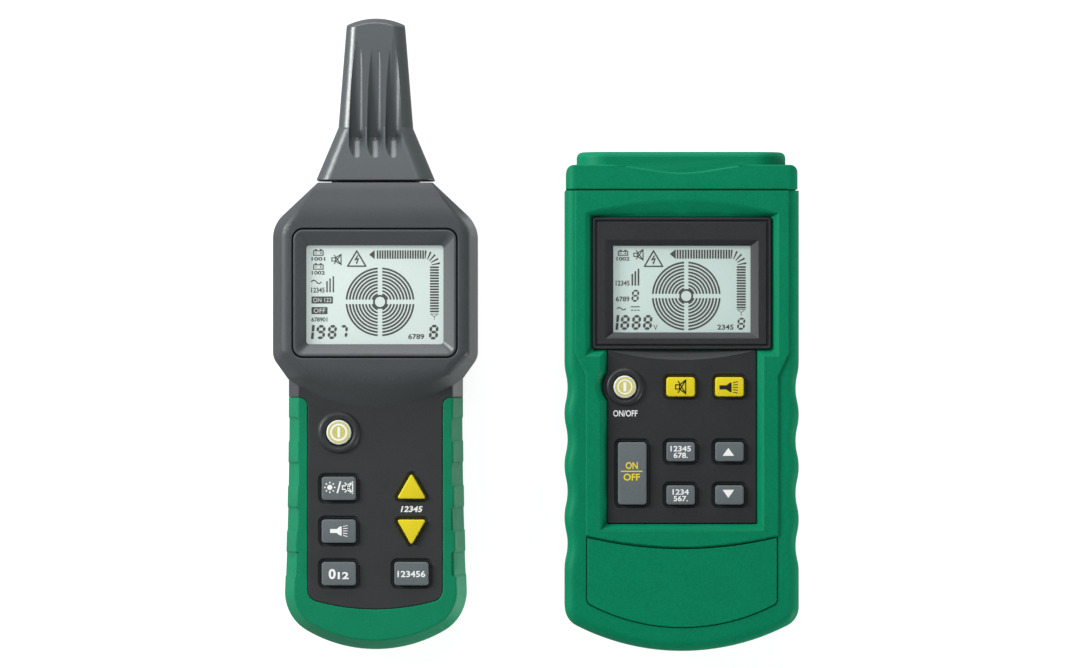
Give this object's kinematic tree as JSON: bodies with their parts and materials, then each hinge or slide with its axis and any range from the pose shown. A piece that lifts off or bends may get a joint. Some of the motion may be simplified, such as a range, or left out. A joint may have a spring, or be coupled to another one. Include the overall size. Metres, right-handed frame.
{
  "type": "cable tracker set",
  "caption": "Hand-held cable tracker receiver with a fluted antenna nose beside its box-shaped signal transmitter, both with displays, press keys and rubbery grips.",
  "frame": {"origin": "middle of the set's footprint, on the surface that both units lie on", "axes": "+Z out of the two fronts, +Y towards the antenna nose and the socket end, +X from the receiver to the transmitter"},
  "size_m": [0.2002, 0.2414, 0.0425],
  "materials": {
    "grey_case": "fine speckled moulding",
    "dark_nose": "fine moulding with a slight sheen",
    "green_rubber": "soft overmould",
    "green_case": "fine speckled moulding",
    "black_panel": "fine satin moulding",
    "clear_window": "clear polished",
    "display_glass": "pale liquid crystal glass",
    "light_guide": "milky light guide",
    "board_green": "solder resist",
    "key_grey": "soft key cap",
    "key_yellow": "soft key cap",
    "key_power": "pale key cap",
    "mat_black": "silicone sheet",
    "buzzer_black": "moulded can",
    "lens_clear": "clear lens",
    "cell_jacket": "plain printed jacket",
    "spring_steel": "plated strip",
    "screw_steel": "zinc plated",
    "ferrite": "pressed and fired",
    "copper_wire": "enamelled copper winding",
    "socket_black": "moulded insulator",
    "socket_red": "moulded insulator",
    "socket_brass": "turned and plated"
  },
  "bodies": {
    "transmitter": {"transmitter_backlight": "light_guide", "transmitter_battery": "cell_jacket", "transmitter_battery_door": "green_case", "transmitter_battery_door_screw": "screw_steel", "transmitter_battery_snap": "socket_black", "transmitter_bezel": "black_panel", "transmitter_buzzer": "buzzer_black", "transmitter_case_screws": "screw_steel", "transmitter_circuit_board": "board_green", "transmitter_display": "display_glass", "transmitter_front_shell": "green_case", "transmitter_key_panel": "black_panel", "transmitter_keypad_mat": "mat_black", "transmitter_lower_panel": "green_case", "transmitter_rear_shell": "green_case", "transmitter_socket_contacts": "socket_brass", "transmitter_socket_sleeve_left": "socket_black", "transmitter_socket_sleeve_right": "socket_red", "transmitter_top_cap": "green_case", "transmitter_torch_lens": "lens_clear", "transmitter_window": "clear_window"},
    "receiver": {"receiver_antenna_coil": "copper_wire", "receiver_antenna_rod": "ferrite", "receiver_backlight": "light_guide", "receiver_battery_door": "grey_case", "receiver_battery_door_screw": "screw_steel", "receiver_bezel": "grey_case", "receiver_buzzer": "buzzer_black", "receiver_case_screws": "screw_steel", "receiver_cell_contacts": "spring_steel", "receiver_cells": "cell_jacket", "receiver_circuit_board": "board_green", "receiver_display": "display_glass", "receiver_front_shell": "grey_case", "receiver_grip_boot": "green_rubber", "receiver_keypad_mat": "mat_black", "receiver_nose": "dark_nose", "receiver_rear_shell": "grey_case", "receiver_torch_lens": "lens_clear", "receiver_window": "clear_window"},
    "receiver_down_key": {"receiver_down_key": "key_yellow"},
    "receiver_light_key": {"receiver_light_key": "key_grey"},
    "receiver_mode_key": {"receiver_mode_key": "key_grey"},
    "receiver_power_key": {"receiver_power_key": "key_power"},
    "receiver_torch_key": {"receiver_torch_key": "key_grey"},
    "receiver_up_key": {"receiver_up_key": "key_yellow"},
    "receiver_voltage_key": {"receiver_voltage_key": "key_grey"},
    "transmitter_code_key": {"transmitter_code_key": "key_grey"},
    "transmitter_down_key": {"transmitter_down_key": "key_grey"},
    "transmitter_level_key": {"transmitter_level_key": "key_grey"},
    "transmitter_mute_key": {"transmitter_mute_key": "key_yellow"},
    "transmitter_power_key": {"transmitter_power_key": "key_power"},
    "transmitter_start_key": {"transmitter_start_key": "key_grey"},
    "transmitter_torch_key": {"transmitter_torch_key": "key_yellow"},
    "transmitter_up_key": {"transmitter_up_key": "key_grey"}
  },
  "joints": [
    {"name": "receiver_lift", "type": "slide", "parent": "transmitter", "child": "receiver", "axis": [0, 0, 1], "range_m": [0, 0.1]},
    {"name": "receiver_down_press", "type": "slide", "parent": "receiver", "child": "receiver_down_key", "axis": [0, 0, -1], "range_m": [0, 0.001], "stiffness_N_per_m": 1200, "springref_m": -0.0005},
    {"name": "receiver_light_press", "type": "slide", "parent": "receiver", "child": "receiver_light_key", "axis": [0, 0, -1], "range_m": [0, 0.001], "stiffness_N_per_m": 1200, "springref_m": -0.0005},
    {"name": "receiver_mode_press", "type": "slide", "parent": "receiver", "child": "receiver_mode_key", "axis": [0, 0, -1], "range_m": [0, 0.001], "stiffness_N_per_m": 1200, "springref_m": -0.0005},
    {"name": "receiver_power_press", "type": "slide", "parent": "receiver", "child": "receiver_power_key", "axis": [0, 0, -1], "range_m": [0, 0.001], "stiffness_N_per_m": 1200, "springref_m": -0.0005},
    {"name": "receiver_torch_press", "type": "slide", "parent": "receiver", "child": "receiver_torch_key", "axis": [0, 0, -1], "range_m": [0, 0.001], "stiffness_N_per_m": 1200, "springref_m": -0.0005},
    {"name": "receiver_up_press", "type": "slide", "parent": "receiver", "child": "receiver_up_key", "axis": [0, 0, -1], "range_m": [0, 0.001], "stiffness_N_per_m": 1200, "springref_m": -0.0005},
    {"name": "receiver_voltage_press", "type": "slide", "parent": "receiver", "child": "receiver_voltage_key", "axis": [0, 0, -1], "range_m": [0, 0.001], "stiffness_N_per_m": 1200, "springref_m": -0.0005},
    {"name": "transmitter_code_press", "type": "slide", "parent": "transmitter", "child": "transmitter_code_key", "axis": [0, 0, -1], "range_m": [0, 0.001], "stiffness_N_per_m": 1200, "springref_m": -0.0005},
    {"name": "transmitter_down_press", "type": "slide", "parent": "transmitter", "child": "transmitter_down_key", "axis": [0, 0, -1], "range_m": [0, 0.001], "stiffness_N_per_m": 1200, "springref_m": -0.0005},
    {"name": "transmitter_level_press", "type": "slide", "parent": "transmitter", "child": "transmitter_level_key", "axis": [0, 0, -1], "range_m": [0, 0.001], "stiffness_N_per_m": 1200, "springref_m": -0.0005},
    {"name": "transmitter_mute_press", "type": "slide", "parent": "transmitter", "child": "transmitter_mute_key", "axis": [0, 0, -1], "range_m": [0, 0.001], "stiffness_N_per_m": 1200, "springref_m": -0.0005},
    {"name": "transmitter_power_press", "type": "slide", "parent": "transmitter", "child": "transmitter_power_key", "axis": [0, 0, -1], "range_m": [0, 0.001], "stiffness_N_per_m": 1200, "springref_m": -0.0005},
    {"name": "transmitter_start_press", "type": "slide", "parent": "transmitter", "child": "transmitter_start_key", "axis": [0, 0, -1], "range_m": [0, 0.001], "stiffness_N_per_m": 1200, "springref_m": -0.0005},
    {"name": "transmitter_torch_press", "type": "slide", "parent": "transmitter", "child": "transmitter_torch_key", "axis": [0, 0, -1], "range_m": [0, 0.001], "stiffness_N_per_m": 1200, "springref_m": -0.0005},
    {"name": "transmitter_up_press", "type": "slide", "parent": "transmitter", "child": "transmitter_up_key", "axis": [0, 0, -1], "range_m": [0, 0.001], "stiffness_N_per_m": 1200, "springref_m": -0.0005}
  ]
}
